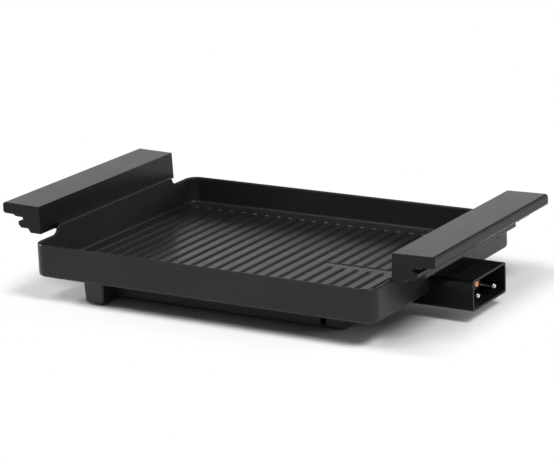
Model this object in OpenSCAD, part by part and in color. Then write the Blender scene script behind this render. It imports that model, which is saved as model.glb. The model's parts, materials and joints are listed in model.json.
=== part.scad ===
// Electric table grill: a ribbed cast pan with raised end walls, two handle bars
// screwed to the pan's end flanges, a loop heater clamped under the ribbed floor,
// a reflector and bottom cover carried by two foot bars, and a plug-in inlet.
// Millimetres. Origin on the table under the pan's centre, +X to the inlet, +Z up.

/* [Pan] */
// Length of the pan over its end walls
pan_l = 360; // [320:1:420]
// Width of the pan over its long walls
pan_w = 272; // [264:1:310]
// Height of the long walls above the underside
wall_h = 31.5; // [27:0.5:34]
// Extra height of the end walls in their middle
raise_h = 8.3; // [6:0.1:11]
// Length of the raised middle of an end wall
raised_l = 183; // [160:1:200]
// Run of the curve from the raised rim down to the long walls
rise_run = 12.5; // [8:0.5:16]
// Wall thickness
wall_t = 3; // [2.4:0.1:4]
// Corner radius in plan
corner_r = 13; // [10:0.5:20]
// Radius of the outer bottom edge
edge_r = 3; // [1.5:0.1:3.5]
// Floor thickness up to the rib tops
floor_t = 5; // [4.6:0.1:7]
// Radius where the floor meets the walls
fillet_r = 3; // [1.5:0.1:4]

/* [Grooves] */
// Distance from groove to groove
groove_pitch = 13.5; // [11:0.1:18]
// Width of a groove at the rib tops
groove_w = 5.4; // [4.4:0.1:6.5]
// Depth of a groove
groove_d = 2.2; // [1.4:0.1:2.4]
// Floor left plain between the groove ends and the long walls
groove_end_gap = 13; // [8:0.5:20]
// Least floor left plain beside the outer grooves
groove_side_gap = 12; // [8:0.5:20]
// Ribs between the middle and the start of the cross channel
channel_from = 4; // [1:1:8]
// Width of the cross channel
channel_w = 3; // [2:0.1:4]
// Land between the channel and the front grooves
channel_land = 9; // [6:0.5:14]

/* [Handles] */
// Length of a handle bar
handle_l = 226; // [206:1:250]
// Width of a handle bar across its top
handle_w = 42.4; // [40:0.1:48]
// Gap between the end wall and the handle
handle_gap = 6.2; // [4:0.1:9]
// Height of the handle's outer top edge over the flange
handle_rise = 21.7; // [20.5:0.1:26]
// Drop of the top face towards the pan
handle_drop = 0.8; // [0:0.1:1.5]
// Thickness of the finger lip
lip_t = 10.5; // [8:0.1:11.4]
// Radius of the outer top edge
top_r = 3; // [1.5:0.1:4]
// Depth of the toes beside the flange
toe_h = 5.3; // [2:0.1:5.7]
// Reach of the flange from the end wall
flange_reach = 27; // [25:0.5:30]
// Flange thickness
flange_t = 6; // [4:0.5:7]
// Raised rim standing above the flange
rim_lip = 0.8; // [0.4:0.1:2]
// Distance between a handle's two screws
screw_span = 130; // [100:1:150]
// Diameter of the handle screws
screw_d = 5; // [4:0.5:5]

/* [Base] */
// Clear height of the pan's underside above the table
pan_z = 23.5; // [23.5:0.5:30]
// Distance from the pan's ends to the foot bars' centres
bar_inset = 60; // [58:0.5:70]
// Width of a foot bar
bar_w = 22; // [19:0.5:23]
// Length of the left foot bar
left_bar_l = 254; // [230:1:260]
// Length of the right foot bar
right_bar_l = 200; // [190:1:256]
// Height of the rubber feet below the bars
foot_h = 1.5; // [1:0.1:3]
// Diameter of the rubber feet
foot_d = 13.6; // [10:0.1:14]
// Distance between the screws of a foot bar
bar_screw_span = 120; // [90:1:130]
// Width of the bottom cover
cover_w = 208; // [190:1:214]
// Thickness of the bottom cover
cover_t = 1.2; // [0.8:0.1:1.5]
// Thickness of the reflector
reflector_t = 0.8; // [0.5:0.1:1.2]
// Vent slots in each row of the bottom cover
vent_count = 7; // [3:1:9]

/* [Heater] */
// Diameter of the heating tube
tube_d = 6.5; // [6:0.1:7]
// Centre-line radius of the heater's bends
bend_r = 15; // [11:0.5:18]
// Distance from the loop to the cover's sides
loop_gap = 13.5; // [11:0.5:18]
// Distance from the loop to the foot bars
loop_end_gap = 17; // [12:0.5:20]
// Distance between the two inner runs of the loop
inner_span = 60; // [44:1:80]
// How far the inner runs reach past the middle towards the inlet
inner_reach = 30; // [-10:1:44]

/* [Inlet] */
// Width of the inlet shroud
shroud_w = 66; // [64:0.5:72]
// Height of the shroud's top above the pan's underside
shroud_up = 16.8; // [15:0.1:20]
// Depth of the shroud's floor below the pan's underside
shroud_down = 11.8; // [11.4:0.1:12.2]
// Reach of the shroud from the end wall
shroud_reach = 43.5; // [40:0.5:50]
// Shroud wall thickness
shroud_t = 2; // [1.4:0.1:2.4]
// Distance between the two contact pins
pin_span = 32.4; // [31:0.1:35]
// Diameter of the contact pins
pin_d = 6; // [5:0.1:6.5]
// Depth of the pin tips inside the mouth
pin_recess = 2; // [1:0.5:6]
// Room behind the insulator for the terminal nuts
terminal_room = 8; // [7:0.5:10]
// Thickness of the insulator
insulator_t = 8; // [6:0.5:10]
// Bore for the heat probe of the plug-in control
probe_d = 6.6; // [6:0.1:6.8]
// Width of the earth spring
earth_w = 9; // [6:0.5:12]

/* [Hidden] */
$fn = 48;

// Clearance of pieces that drop into each other, and of a screw in its thread
clear = 0.3;
thread_clear = 0.05;
eps = 0.01;

// Pan levels
rim_z = pan_z + wall_h;
rib_z = pan_z + floor_t;
end_rim_z = rim_z + raise_h;
flange_top = end_rim_z - rim_lip;
flange_l = raised_l - 4;
flange_edge_r = 2.5;
rise_r = (rise_run * rise_run + raise_h * raise_h) / (4 * raise_h);

// Grooves: a round-nosed cutter of this radius leaves the asked width and depth
groove_r = (groove_w * groove_w / 4 + groove_d * groove_d) / (2 * groove_d);
side_grooves = floor((pan_l / 2 - wall_t - groove_side_gap) / groove_pitch);
groove_y = pan_w / 2 - wall_t - groove_end_gap;
channel_start = min(channel_from, side_grooves - 1);
channel_l = (side_grooves - channel_start) * groove_pitch;
channel_r = channel_w / 2;

// Handles
handle_in = pan_l / 2 + handle_gap;
handle_out = handle_in + handle_w;
handle_top = flange_top + handle_rise;
handle_edge_r = 0.9;
lip_bevel = 1.6;
lip_slope = 0.4;
grip_from = 12;
grip_to = 14;
step_d = 2;
step_slope = 0.2;
inner_draft = 1;
nose_reach = 22;
nose_low = 1.4;
nose_bevel = 3;
nose_drop = 1.3;
slot_lean = 0.6;
slot_h = 2.1;
slot_slope = 2.4;
slot_depth = 5;
toe_w = 11.8;
toe_slope = 2.8;
screw_out = 17.5;
screw_x = pan_l / 2 + screw_out;
screw_hole_d = screw_d + 0.6;
insert_d = screw_d + 3;
insert_l = 10;
washer_d = 2 * screw_d + 0.5;
washer_t = 1;
head_d = 1.8 * screw_d;
head_h = 3.2;
screw_reach = 8;

// Base
bar_x = pan_l / 2 - bar_inset;
bar_in = bar_x - bar_w / 2;
bar_draft = 0.8;
bar_bottom_r = 2.4;
bar_corner_r = 3;
ledge_w = 8;
ledge_z = foot_h + 4.5;
ledge_t = 4;
ledge_past = 14;
bar_screw_d = 4;
bar_boss_d = 11;
bar_boss_h = 10;
bar_head_d = 8;
bar_head_h = 2.8;
bar_seat_z = foot_h + 4.5;
foot_sink = 2.5;
foot_inset = 12;
cover_in = cover_w / 2 - cover_t;
cover_screw_d = 3;
cover_screw_y = 70;
boss_up = 1.2;
vent_w = 4;
vent_l = 44;
vent_step = 14;

// Heater
tube_z = pan_z - 0.1 - tube_d / 2;
loop_x = bar_in - loop_end_gap;
loop_y = cover_in - loop_gap;
leg_y = pin_span / 2;
leg_back = 30;
leg_end = pan_l / 2 - leg_back;
seal_l = 6;
terminal_d = 2.5;
terminal_l = 8;
clamp_l = 12;
clamp_t = 1.2;
clamp_x = loop_x / 2;
clamp_screw_d = 3;
clamp_reach = 10;
clamp_boss_d = 8;

// Inlet
shroud_top = pan_z + shroud_up;
shroud_floor = pan_z - shroud_down;
shroud_back = bar_x + bar_w / 2 + clear;
mouth_x = pan_l / 2 + shroud_reach;
shroud_r = 2.5;
pin_z = pan_z - 1.8;
pin_tip = mouth_x - pin_recess;
chamber_x = pan_l / 2 + shroud_t;
insulator_x = chamber_x + terminal_room;
stop_w = 2;
insulator_front = insulator_x + insulator_t;
collar_d = pin_d + 3;
collar_t = 2;
tail_d = 3.4;
nut_t = 3;
nut_flats = 6;
lug_t = 0.8;
guide_d = probe_d + 2.4;
guide_z = pan_z - 0.1 - guide_d / 2;
guide_end = bar_x + bar_w / 2 + 6;
guide_lip = 2;
inlet_screw_x = bar_x + bar_w / 2 + 14;
inlet_screw_y = shroud_w / 2 - 7;
inlet_boss_d = 8;
inlet_screw_d = 3;

// A flat rectangle with round corners, centred
module round_rect(size, r) {
    square([size.x - 2 * r, size.y], center = true);
    square([size.x, size.y - 2 * r], center = true);
    for (sx = [-1, 1], sy = [-1, 1])
        translate([sx * (size.x / 2 - r), sy * (size.y / 2 - r)]) circle(r);
}

// A screw standing head down on z = 0, its shank pointing up
module screw(d, head, head_t, length) {
    translate([0, 0, -head_t]) cylinder(d = head, h = head_t);
    translate([0, 0, -eps]) cylinder(d = d, h = length + eps);
}

// A round-nosed groove along Y, from y0 to y1, cut into a floor at z = 0
module groove(r, depth, y0, y1) {
    translate([0, y0 + r, r - depth])
        rotate([-90, 0, 0])
            rotate_extrude()
                intersection() {
                    union() {
                        square([r, y1 - y0 - 2 * r]);
                        circle(r);
                        translate([0, y1 - y0 - 2 * r]) circle(r);
                    }
                    translate([0, -2 * r]) square([2 * r, y1 - y0 + 2 * r]);
                }
}

// Places its children at the four mirrored corners
module four(x, y) {
    for (sx = [-1, 1], sy = [-1, 1]) translate([sx * x, sy * y, 0]) children();
}

// Floor edge and wall of the pan as a section: x = 0 at the corner's centre
module wall_section() {
    square([corner_r - edge_r, floor_t]);
    translate([0, edge_r]) square([corner_r, floor_t - edge_r]);
    translate([corner_r - edge_r, edge_r]) circle(edge_r);
    translate([corner_r - wall_t, edge_r]) square([wall_t, wall_h - edge_r - wall_t / 2]);
    translate([corner_r - wall_t / 2, wall_h - wall_t / 2]) circle(d = wall_t);
    translate([corner_r - wall_t - fillet_r, floor_t])
        difference() {
            square(fillet_r);
            translate([0, fillet_r]) circle(fillet_r);
        }
}

// The tub: four wall runs, four round corners and the floor between them
module tub() {
    run_x = pan_l - 2 * corner_r;
    run_y = pan_w - 2 * corner_r;
    translate([-run_x / 2, -run_y / 2, 0]) cube([run_x, run_y, floor_t]);
    for (s = [0, 180]) rotate(s) {
        translate([run_x / 2, run_y / 2, 0])
            rotate([90, 0, 0]) linear_extrude(run_y) wall_section();
        translate([-run_x / 2, run_y / 2, 0])
            rotate([90, 0, 90]) linear_extrude(run_x) wall_section();
        translate([run_x / 2, run_y / 2, 0])
            rotate_extrude(angle = 90) wall_section();
        translate([-run_x / 2, run_y / 2, 0])
            rotate(90) rotate_extrude(angle = 90) wall_section();
    }
}

// The raised part of one end wall, with its curve down to the long walls
module raised_wall() {
    half = raised_l / 2;
    foot_z = wall_h - 2 * wall_t;
    up = wall_h + raise_h;
    mid_x = pan_l / 2 - wall_t / 2;
    translate([mid_x, half, 0])
        rotate([90, 0, 0])
            linear_extrude(raised_l) {
                translate([-wall_t / 2, foot_z]) square([wall_t, up - wall_t / 2 - foot_z]);
                translate([0, up - wall_t / 2]) circle(d = wall_t);
            }
    for (s = [0, 1]) mirror([0, s, 0]) {
        translate([mid_x, half, up - rise_r])
            rotate([0, 90, 0])
                rotate_extrude() {
                    translate([0, -wall_t / 2]) square([rise_r - wall_t / 2, wall_t]);
                    translate([rise_r - wall_t / 2, 0]) circle(d = wall_t);
                }
        difference() {
            translate([mid_x - wall_t / 2, 0, 0])
                rotate([90, 0, 90])
                    linear_extrude(wall_t)
                        polygon([
                            [half, up - rise_r],
                            [half + rise_run, wall_h + rise_r],
                            [half + rise_run, foot_z],
                            [half, foot_z],
                        ]);
            translate([mid_x, half + rise_run, wall_h + rise_r])
                rotate([0, 90, 0])
                    rotate_extrude()
                        difference() {
                            translate([0, -wall_t]) square([rise_r + wall_t / 2, 2 * wall_t]);
                            translate([rise_r + wall_t / 2, 0]) circle(d = wall_t);
                        }
        }
    }
}

// The shelf on one end wall that carries a handle
module flange() {
    reach = flange_reach;
    top = flange_top - pan_z;
    r = flange_edge_r;
    translate([pan_l / 2 - wall_t / 2, flange_l / 2, top - flange_t])
        rotate([90, 0, 0])
            linear_extrude(flange_l) {
                square([reach + wall_t / 2 - r, flange_t]);
                square([reach + wall_t / 2, flange_t - r]);
                translate([reach + wall_t / 2 - r, flange_t - r]) circle(r);
            }
}

// All the grooves of the cooking floor, as the tool that cuts them
module floor_grooves() {
    for (i = [-side_grooves : side_grooves]) translate([i * groove_pitch, 0, 0]) {
        if (i <= channel_start) groove(groove_r, groove_d, -groove_y, groove_y);
        else {
            groove(groove_r, groove_d, -groove_y, -channel_land);
            groove(groove_r, groove_d, -groove_r, groove_y);
        }
    }
    translate([channel_start * groove_pitch, 0, 0]) {
        rotate(-90) groove(channel_r, groove_d, 0, channel_l);
        translate([0, -channel_r, channel_r - groove_d]) cube([channel_l, channel_w, groove_d]);
    }
}

module grill_pan() {
    color([0.16, 0.16, 0.16])
    difference() {
        union() {
            translate([0, 0, pan_z]) {
                tub();
                for (s = [0, 1]) mirror([s, 0, 0]) {
                    raised_wall();
                    flange();
                }
            }
            four(bar_x, bar_screw_span / 2)
                translate([0, 0, pan_z - bar_boss_h]) cylinder(d = bar_boss_d, h = bar_boss_h + 1);
            four(clamp_x, loop_y - clamp_reach)
                translate([0, 0, tube_z + eps])
                    cylinder(d = clamp_boss_d, h = pan_z - tube_z + 1);
            for (s = [-1, 1]) translate([inlet_screw_x, s * inlet_screw_y, shroud_floor + shroud_t])
                cylinder(d = inlet_boss_d, h = shroud_down - shroud_t + 1);
        }
        translate([0, 0, rib_z]) floor_grooves();
        four(screw_x, screw_span / 2)
            translate([0, 0, flange_top - flange_t - 1])
                cylinder(d = screw_hole_d, h = flange_t + 2);
        four(bar_x, bar_screw_span / 2)
            translate([0, 0, pan_z - bar_boss_h - 1])
                cylinder(d = bar_screw_d + 2 * thread_clear, h = bar_boss_h + boss_up + 1);
        four(clamp_x, loop_y - clamp_reach)
            translate([0, 0, tube_z - 1])
                cylinder(d = clamp_screw_d + 2 * thread_clear, h = pan_z - tube_z + boss_up + 1);
        for (s = [-1, 1]) translate([inlet_screw_x, s * inlet_screw_y, shroud_floor + shroud_t - 1])
            cylinder(d = inlet_screw_d + 2 * thread_clear, h = shroud_down - shroud_t + boss_up + 1);
    }
}

// Section of a handle: x from the end wall outwards, y up from the flange. Beside the
// flange's ends the toe hangs down, and the nose drops a little too.
module handle_section(toe) {
    lip_y = handle_rise - lip_t;
    step_y = lip_y - step_d;
    back = handle_w - nose_reach;
    seat = toe ? -nose_drop : 0;
    drop_to = toe ? -toe_h : 0;
    offset(r = handle_edge_r, $fn = 20) offset(r = -handle_edge_r, $fn = 20)
        polygon([
            [inner_draft, handle_rise - handle_drop],
            for (a = [0 : 15 : 90])
                [handle_w - top_r + top_r * sin(a), handle_rise - top_r + top_r * cos(a)],
            [handle_w, lip_y + lip_bevel],
            [handle_w - lip_bevel, lip_y],
            [handle_w - grip_from, lip_y - lip_slope],
            [handle_w - grip_to, step_y],
            [back, step_y - step_slope],
            [back - slot_lean, step_y - slot_h],
            [back + slot_depth, step_y - slot_h - slot_slope],
            [back + slot_depth, nose_low],
            [back + slot_depth - nose_bevel, seat],
            [toe_w + toe_slope, seat],
            [toe_w, drop_to],
            [0, drop_to],
        ]);
}

// One handle bar at the inlet end: the toes hang beside the ends of the flange
module handle_bar() {
    toe_y = flange_l / 2 + 0.5;
    difference() {
        translate([handle_in, 0, flange_top]) {
            translate([0, toe_y, 0])
                rotate([90, 0, 0]) linear_extrude(2 * toe_y) handle_section(false);
            for (s = [-1, 1]) translate([0, s * (toe_y + handle_l / 2) / 2, 0])
                rotate([90, 0, 0])
                    linear_extrude(handle_l / 2 - toe_y, center = true) handle_section(true);
        }
        for (s = [-1, 1]) translate([screw_x, s * screw_span / 2, flange_top - 1])
            cylinder(d = insert_d, h = insert_l + 1);
    }
}

module left_handle() {
    color([0.22, 0.22, 0.21]) mirror([1, 0, 0]) handle_bar();
}

module right_handle() {
    color([0.22, 0.22, 0.21]) handle_bar();
}

// Puts its children at the two screws of one handle: side is -1 left, 1 right
module at_handle_screws(side) {
    for (s = [-1, 1]) translate([side * screw_x, s * screw_span / 2, 0]) children();
}

module handle_inserts(side) {
    color([0.75, 0.6, 0.3])
        at_handle_screws(side) translate([0, 0, flange_top])
            difference() {
                cylinder(d = insert_d - 2 * thread_clear, h = insert_l);
                translate([0, 0, -1]) cylinder(d = screw_d + 2 * thread_clear, h = insert_l);
            }
}

module handle_washers(side) {
    color([0.6, 0.6, 0.62])
        at_handle_screws(side) translate([0, 0, flange_top - flange_t - washer_t])
            difference() {
                cylinder(d = washer_d, h = washer_t);
                translate([0, 0, -1]) cylinder(d = screw_d + 0.3, h = washer_t + 2);
            }
}

module handle_screws(side) {
    color([0.6, 0.6, 0.62])
        at_handle_screws(side) translate([0, 0, flange_top - flange_t - washer_t])
            difference() {
                screw(screw_d, head_d, head_h, flange_t + washer_t + screw_reach);
                translate([0, 0, -head_h - 1])
                    cylinder(d = head_d * 0.5, h = head_h * 0.6 + 1, $fn = 6);
            }
}

// A tube bent square round the corners of a list of points
module bent_tube(points, d, r) {
    last = len(points) - 1;
    for (i = [0 : last - 1]) {
        a = points[i];
        b = points[i + 1];
        dir = (b - a) / norm(b - a);
        from = a + dir * (i == 0 ? 0 : r);
        to = b - dir * (i == last - 1 ? 0 : r);
        translate(from)
            rotate(atan2(dir.y, dir.x)) rotate([0, 90, 0]) cylinder(d = d, h = norm(to - from));
    }
    for (i = [1 : last - 1]) {
        in_dir = (points[i] - points[i - 1]) / norm(points[i] - points[i - 1]);
        out_dir = (points[i + 1] - points[i]) / norm(points[i + 1] - points[i]);
        turn = in_dir.x * out_dir.y - in_dir.y * out_dir.x;
        centre = points[i] - in_dir * r + out_dir * r;
        start = atan2(-out_dir.y, -out_dir.x);
        translate(centre)
            rotate(turn > 0 ? start : start - 90)
                rotate_extrude(angle = 90) translate([r, 0]) circle(d = d);
    }
}

// Corners of the heater's loop, from one terminal round to the other
function loop_points() = [
    [leg_end, leg_y], [loop_x, leg_y], [loop_x, loop_y], [-loop_x, loop_y],
    [-loop_x, inner_span / 2], [inner_reach, inner_span / 2],
    [inner_reach, -inner_span / 2], [-loop_x, -inner_span / 2],
    [-loop_x, -loop_y], [loop_x, -loop_y], [loop_x, -leg_y], [leg_end, -leg_y],
];

module heating_element() {
    color([0.45, 0.44, 0.42])
        translate([0, 0, tube_z]) bent_tube(loop_points(), tube_d, bend_r);
}

module element_seals() {
    color([0.85, 0.83, 0.78])
        for (s = [-1, 1]) translate([leg_end, s * leg_y, tube_z])
            rotate([0, 90, 0])
                difference() {
                    cylinder(d = tube_d, h = seal_l);
                    translate([0, 0, -1]) cylinder(d = terminal_d, h = seal_l + 2);
                }
}

module element_terminals() {
    color([0.7, 0.7, 0.68])
        for (s = [-1, 1]) translate([leg_end, s * leg_y, tube_z])
            rotate([0, 90, 0]) cylinder(d = terminal_d, h = seal_l + terminal_l);
}

// Saddles round the heater, each with one wing screwed to a boss of the pan
module element_clamps() {
    r = tube_d / 2 + 0.05;
    wing = clamp_reach + clamp_boss_d / 2;
    color([0.65, 0.65, 0.66])
        for (sx = [-1, 1], sy = [-1, 1])
            translate([sx * clamp_x, sy * loop_y, tube_z])
                mirror([0, sy > 0 ? 1 : 0, 0])
                    difference() {
                        translate([-clamp_l / 2, 0, 0])
                            rotate([90, 0, 90])
                                linear_extrude(clamp_l) {
                                    difference() {
                                        circle(r + clamp_t);
                                        circle(r);
                                        translate([-2 * r, 0]) square([4 * r, 2 * r]);
                                    }
                                    translate([r, -clamp_t]) square([wing - r, clamp_t]);
                                }
                        translate([0, clamp_reach, -clamp_t - 1])
                            cylinder(d = clamp_screw_d + 0.3, h = clamp_t + 2);
                    }
}

module clamp_screws() {
    color([0.6, 0.6, 0.62])
        four(clamp_x, loop_y - clamp_reach)
            translate([0, 0, tube_z - clamp_t])
                screw(clamp_screw_d, 2 * clamp_screw_d, 1.8, clamp_t + pan_z - tube_z + boss_up - 0.4);
}

// Thin bright sheet on the foot bars' ledges, with a stiffening lip on each long side
module reflector_plate() {
    half_x = bar_in - clear;
    half_y = cover_in - clear;
    lip = 4;
    color([0.8, 0.8, 0.8])
        translate([0, 0, ledge_z + ledge_t]) {
            translate([-half_x, -half_y, 0]) cube([2 * half_x, 2 * half_y, reflector_t]);
            for (s = [-1, 1]) translate([-half_x, s * (half_y - reflector_t / 2) - reflector_t / 2, 0])
                cube([2 * half_x, reflector_t, lip]);
        }
}

// Bottom cover: a pressed sheet with two folded-up sides and two rows of vents
module bottom_cover() {
    half_x = bar_in - clear;
    rows = floor((vent_count - 1) / 2);
    color([0.2, 0.2, 0.2])
        translate([0, 0, ledge_z - cover_t])
            difference() {
                union() {
                    translate([-half_x, -cover_w / 2, 0]) cube([2 * half_x, cover_w, cover_t]);
                    for (s = [-1, 1])
                        translate([-half_x, s * (cover_w / 2 - cover_t / 2) - cover_t / 2, 0])
                            cube([2 * half_x, cover_t, pan_z - ledge_z + cover_t - 1]);
                }
                for (i = [0 : vent_count - 1], s = [-1, 1])
                    translate([(i - (vent_count - 1) / 2) * vent_step, s * cover_w / 4, -1])
                        linear_extrude(cover_t + 2)
                            round_rect([vent_w, vent_l], vent_w / 2 - eps);
                four(bar_in - ledge_w / 2, cover_screw_y)
                    translate([0, 0, -1])
                        cylinder(d = cover_screw_d + 0.4, h = cover_t + 2);
            }
}

module cover_screws() {
    color([0.6, 0.6, 0.62])
        four(bar_in - ledge_w / 2, cover_screw_y)
            translate([0, 0, ledge_z - cover_t])
                screw(cover_screw_d, 2 * cover_screw_d, 1.6, cover_t + ledge_t - 0.5);
}

// A foot bar along Y at x = 0, with its ledge towards +X
module foot_bar(length) {
    top = [bar_w, length];
    low = [bar_w - 2 * bar_draft, length - 2 * bar_draft];
    h = pan_z - foot_h;
    r = bar_bottom_r;
    difference() {
        union() {
            translate([0, 0, foot_h])
                hull($fn = 32) {
                    translate([0, 0, h - 1]) linear_extrude(1) round_rect(top, bar_corner_r);
                    for (a = [0, 30, 60, 90])
                        translate([0, 0, r * (1 - sin(a))])
                            linear_extrude(eps)
                                offset(delta = -r * (1 - cos(a))) round_rect(low, bar_corner_r);
                }
            translate([bar_w / 2 - bar_draft - 1, -cover_screw_y - ledge_past, ledge_z])
                cube([ledge_w + bar_draft + 1, 2 * (cover_screw_y + ledge_past), ledge_t]);
        }
        for (s = [-1, 1]) translate([0, s * bar_screw_span / 2, 0]) {
            translate([0, 0, pan_z - bar_boss_h - clear])
                cylinder(d = bar_boss_d + 2 * clear, h = bar_boss_h + 1);
            cylinder(d = bar_screw_d + 0.6, h = pan_z);
            cylinder(d = bar_head_d + 1, h = bar_seat_z);
        }
        for (s = [-1, 1]) translate([0, s * (length / 2 - foot_inset), 0])
            cylinder(d = foot_d + 0.4, h = foot_h + foot_sink);
        for (s = [-1, 1]) translate([bar_w / 2 + ledge_w / 2, s * cover_screw_y, ledge_z - 1])
            cylinder(d = cover_screw_d + 2 * thread_clear, h = ledge_t + 2);
    }
}

module left_foot_bar() {
    color([0.18, 0.18, 0.18]) translate([-bar_x, 0, 0]) foot_bar(left_bar_l);
}

// The bar at the inlet end has a tunnel for the heater's legs and the probe guide
module right_foot_bar() {
    tunnel = 2 * leg_y + tube_d + 4;
    floor_z = min(tube_z - tube_d / 2, guide_z - guide_d / 2) - 1;
    color([0.18, 0.18, 0.18])
        difference() {
            translate([bar_x, 0, 0]) mirror([1, 0, 0]) foot_bar(right_bar_l);
            translate([bar_x - bar_w, -tunnel / 2, floor_z]) cube([2 * bar_w, tunnel, pan_z]);
        }
}

module foot_bar_screws() {
    color([0.6, 0.6, 0.62])
        four(bar_x, bar_screw_span / 2)
            translate([0, 0, bar_seat_z])
                screw(bar_screw_d, bar_head_d, bar_head_h, pan_z - bar_seat_z + boss_up - 0.4);
}

module rubber_feet(x, length) {
    color([0.1, 0.1, 0.1])
        for (s = [-1, 1]) translate([x, s * (length / 2 - foot_inset), 0])
            cylinder(d = foot_d, h = foot_h + foot_sink);
}

// Outline of the shroud across X, and of the hollow inside it
module shroud_outline(shrink) {
    size = [shroud_w - 2 * shrink, shroud_up + shroud_down - 2 * shrink];
    translate([0, (shroud_top + shroud_floor) / 2]) round_rect(size, shroud_r - shrink * 0.6);
}

// A box open at the plug end, with a tail that runs back under the pan
module inlet_shroud() {
    stop_h = shroud_up + shroud_down - 2 * shroud_t;
    color([0.05, 0.05, 0.05]) {
        difference() {
            translate([shroud_back, 0, 0])
                rotate([90, 0, 90])
                    linear_extrude(mouth_x - shroud_back) shroud_outline(0);
            translate([chamber_x, 0, 0])
                rotate([90, 0, 90])
                    linear_extrude(shroud_reach) shroud_outline(shroud_t);
            translate([shroud_back - 1, 0, 0])
                rotate([90, 0, 90])
                    linear_extrude(chamber_x - shroud_back + 2)
                        intersection() {
                            shroud_outline(shroud_t);
                            translate([-shroud_w, shroud_floor]) square([2 * shroud_w, shroud_down]);
                        }
            translate([shroud_back - 1, -shroud_w, pan_z])
                cube([pan_l / 2 - shroud_back + 1, 2 * shroud_w, shroud_up + 1]);
            for (s = [-1, 1]) translate([inlet_screw_x, s * inlet_screw_y, shroud_floor - 1])
                cylinder(d = inlet_screw_d + 0.4, h = shroud_t + 2);
        }
        // Two ribs that the insulator is pushed back against
        translate([insulator_x - stop_w, -stop_w / 2, shroud_floor + shroud_t])
            for (s = [-1, 1]) translate([0, s * (shroud_w / 2 - shroud_t - stop_w / 2), 0])
                cube([stop_w, stop_w, stop_h]);
    }
}

module inlet_screws() {
    color([0.6, 0.6, 0.62])
        for (s = [-1, 1]) translate([inlet_screw_x, s * inlet_screw_y, shroud_floor])
            screw(inlet_screw_d, 2 * inlet_screw_d, 1.8, shroud_down + boss_up - 0.4);
}

// Ceramic block across the shroud: it holds the pins and the mouth of the probe guide
module inlet_insulator() {
    color([0.8, 0.78, 0.72])
        difference() {
            translate([insulator_x, 0, 0])
                rotate([90, 0, 90])
                    linear_extrude(insulator_t) shroud_outline(shroud_t + 0.15);
            for (s = [-1, 1]) translate([insulator_x - 1, s * leg_y, pin_z])
                rotate([0, 90, 0]) cylinder(d = tail_d + 2 * thread_clear, h = insulator_t + 2);
            translate([insulator_x - 1, 0, guide_z])
                rotate([0, 90, 0]) cylinder(d = guide_d + 2 * thread_clear, h = insulator_t + 2);
        }
}

// A domed contact pin with a collar and a thinner tail through the insulator
module contact_pin() {
    dome = pin_d / 2;
    translate([insulator_front, 0, pin_z])
        rotate([0, 90, 0]) {
            cylinder(d = collar_d, h = collar_t);
            cylinder(d = pin_d, h = pin_tip - insulator_front - dome);
            translate([0, 0, pin_tip - insulator_front - dome]) sphere(d = pin_d);
            translate([0, 0, -insulator_t - lug_t - nut_t - 1])
                cylinder(d = tail_d, h = insulator_t + lug_t + nut_t + 1 + eps);
        }
}

module line_pin() {
    color([0.8, 0.8, 0.82]) translate([0, leg_y, 0]) contact_pin();
}

module neutral_pin() {
    color([0.8, 0.8, 0.82]) translate([0, -leg_y, 0]) contact_pin();
}

module pin_nuts() {
    color([0.75, 0.6, 0.3])
        for (s = [-1, 1]) translate([insulator_x - lug_t - nut_t, s * leg_y, pin_z])
            rotate([0, 90, 0])
                difference() {
                    cylinder(d = nut_flats / cos(30), h = nut_t, $fn = 6);
                    translate([0, 0, -1]) cylinder(d = tail_d + 2 * thread_clear, h = nut_t + 2);
                }
}

// A bridge bar from a heater terminal to a pin's tail, with an upturned lug at each end
module lead() {
    from_x = leg_end + seal_l + terminal_l - 3;
    to_x = insulator_x;
    bar_z = tube_z - tube_d / 2 - 1;
    w = 6;
    difference() {
        translate([0, -w / 2, 0]) {
            translate([from_x, 0, bar_z]) cube([to_x - from_x, w, lug_t]);
            translate([from_x, 0, bar_z]) cube([lug_t, w, pan_z - 0.5 - bar_z]);
            translate([to_x - lug_t, 0, bar_z]) cube([lug_t, w, pan_z - 0.1 - bar_z]);
        }
        translate([from_x - 1, 0, tube_z])
            rotate([0, 90, 0]) cylinder(d = terminal_d + 2 * thread_clear, h = lug_t + 2);
        translate([to_x - lug_t - 1, 0, pin_z])
            rotate([0, 90, 0]) cylinder(d = tail_d + 2 * thread_clear, h = lug_t + 2);
    }
}

module line_lead() {
    color([0.72, 0.45, 0.3]) translate([0, leg_y, 0]) lead();
}

module neutral_lead() {
    color([0.72, 0.45, 0.3]) translate([0, -leg_y, 0]) lead();
}

function left_normal(a, b) = [a.y - b.y, b.x - a.x] / norm(b - a);

// The line that runs beside a list of points, mitred at its bends
function beside(points, away) = [
    for (i = [0 : len(points) - 1])
        let (
            last = len(points) - 1,
            before = left_normal(points[max(i - 1, 0)], points[max(i, 1)]),
            after = left_normal(points[min(i, last - 1)], points[min(i + 1, last)]),
            mitre = (before + after) / norm(before + after)
        )
        points[i] + mitre * away / (mitre * after)
];

// A strip of one thickness along a list of points
module strip(points, t) {
    one = beside(points, t / 2);
    other = beside(points, -t / 2);
    polygon(concat(one, [for (i = [len(other) - 1 : -1 : 0]) other[i]]));
}

// Copper spring in the near top corner of the shroud, bowed to grip the plug
module earth_contact() {
    t = 0.6;
    y = -shroud_w / 2 + shroud_t + t / 2;
    z = shroud_top - shroud_t - t / 2;
    color([0.72, 0.4, 0.28])
        translate([mouth_x - earth_w - 2.5, 0, 0])
            rotate([90, 0, 90])
                linear_extrude(earth_w)
                    strip([
                        [y + 9.5, z], [y + 2.2, z], [y + 0.4, z - 1.6], [y + 3.6, z - 3.4],
                        [y + 1.2, z - 5.4], [y + 3.4, z - 7.4], [y + 0.6, z - 10],
                    ], t);
}

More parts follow.
